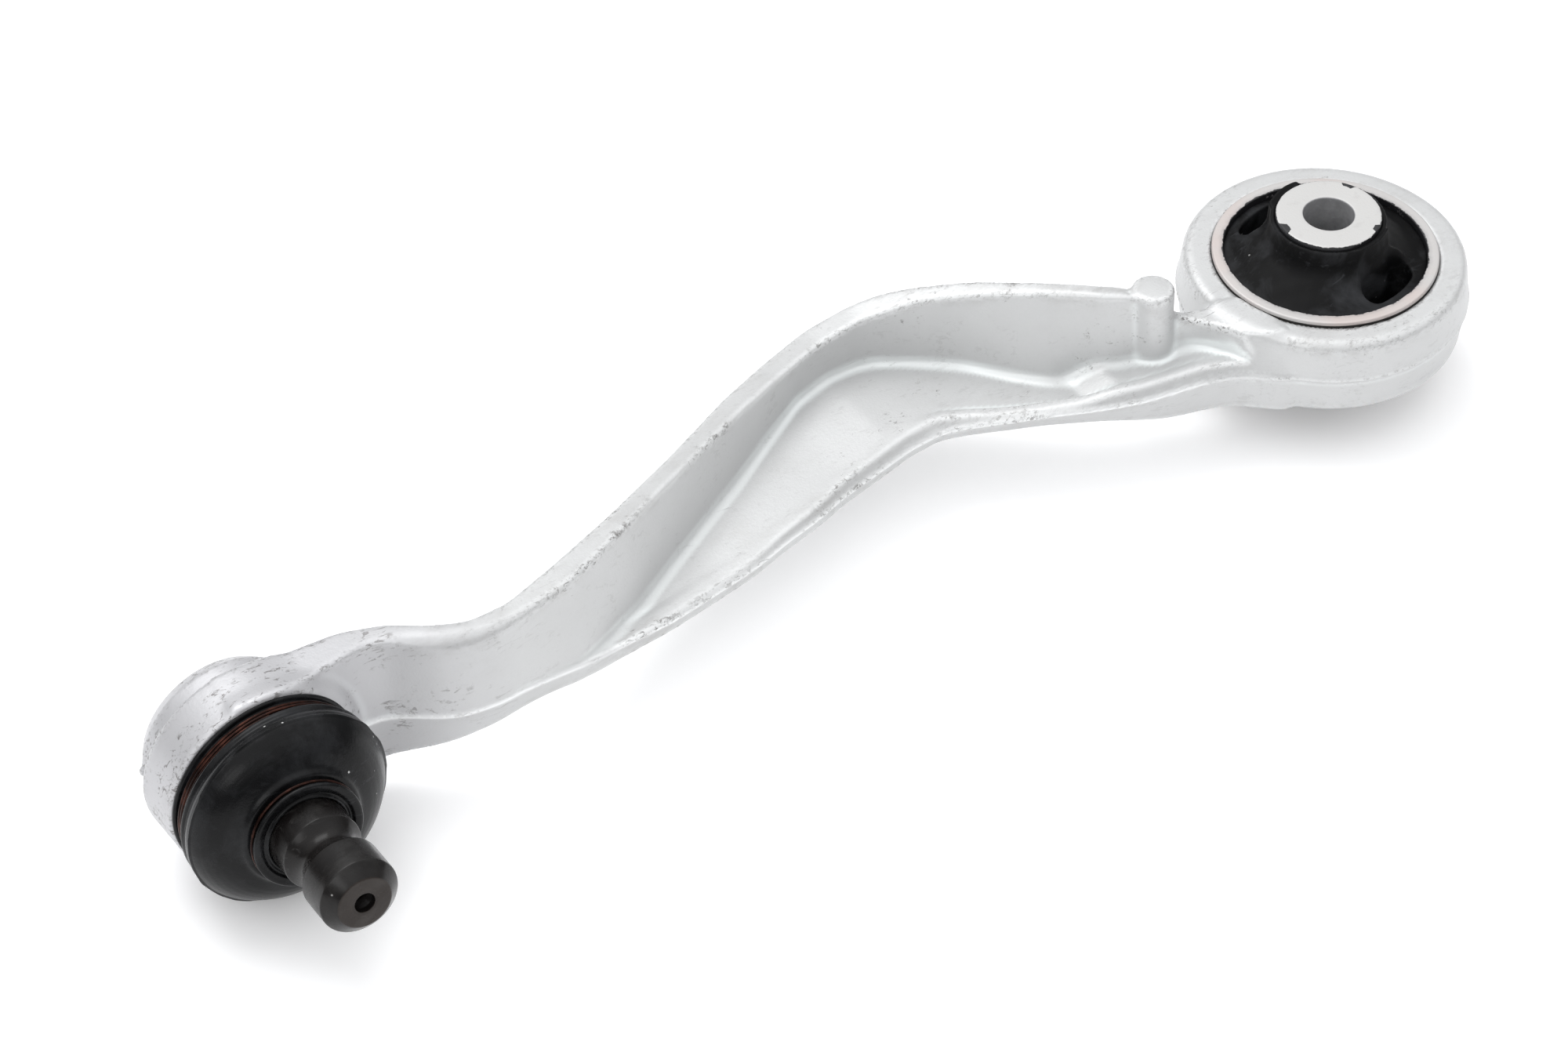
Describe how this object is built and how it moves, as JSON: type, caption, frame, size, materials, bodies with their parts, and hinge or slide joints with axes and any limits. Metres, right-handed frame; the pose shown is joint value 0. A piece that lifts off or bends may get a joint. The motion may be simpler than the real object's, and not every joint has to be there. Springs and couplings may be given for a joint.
{
  "type": "suspension control arm",
  "caption": "Curved forged aluminium suspension link with a rubber bush in an eye at one end and a booted ball joint with a grooved clamp pin at the other.",
  "frame": {"origin": "on the bush bore axis, at the middle of the bush and of the eye's thickness", "axes": "+Z along the bush bore, +X from the bush towards the ball centre, +Y to the side the ball pin points to"},
  "size_m": [0.3059, 0.0865, 0.0426],
  "materials": {
    "forged_aluminium": "satin forged",
    "sleeve_aluminium": "satin",
    "bush_rubber": "matte",
    "boot_rubber": "semi-matte",
    "shell_plastic": "matte",
    "plate_steel": "satin",
    "dark_steel": "oiled dark phosphate",
    "ring_wire": "dark tempered"
  },
  "bodies": {
    "arm": {"arm_forging": "forged_aluminium", "bush_outer_sleeve": "sleeve_aluminium", "bush_rubber": "bush_rubber", "ball_shell": "shell_plastic", "closing_plate": "plate_steel", "boot_base_ring": "ring_wire"},
    "bolt_sleeve": {"bush_inner_sleeve": "sleeve_aluminium"},
    "boot_middle": {"boot": "boot_rubber"},
    "boot_neck": {"boot_neck_ring": "ring_wire"},
    "stud": {"ball_stud": "dark_steel"}
  },
  "joints": [
    {"name": "bush_twist", "type": "hinge", "parent": "arm", "child": "bolt_sleeve", "pos_m": [0, 0, 0], "axis": [0, 0, 1], "range_deg": [-20, 20], "stiffness_Nm_per_rad": 15, "deforming": ["bush_rubber"]},
    {"name": "stud_swing", "type": "hinge", "parent": "arm", "child": "boot_middle", "pos_m": [0.2546, 0, 0], "axis": [0, 0, 1], "range_deg": [-14, 22], "deforming": ["boot"]},
    {"name": "stud_lift", "type": "hinge", "parent": "boot_middle", "child": "boot_neck", "pos_m": [0.2546, 0, 0], "axis": [0.9976, -0.0698, 0], "range_deg": [-20, 8], "deforming": ["boot"]},
    {"name": "stud_spin", "type": "hinge", "parent": "boot_neck", "child": "stud", "pos_m": [0.2546, 0, 0], "axis": [0.0694, 0.9921, 0.1045], "continuous": true}
  ]
}
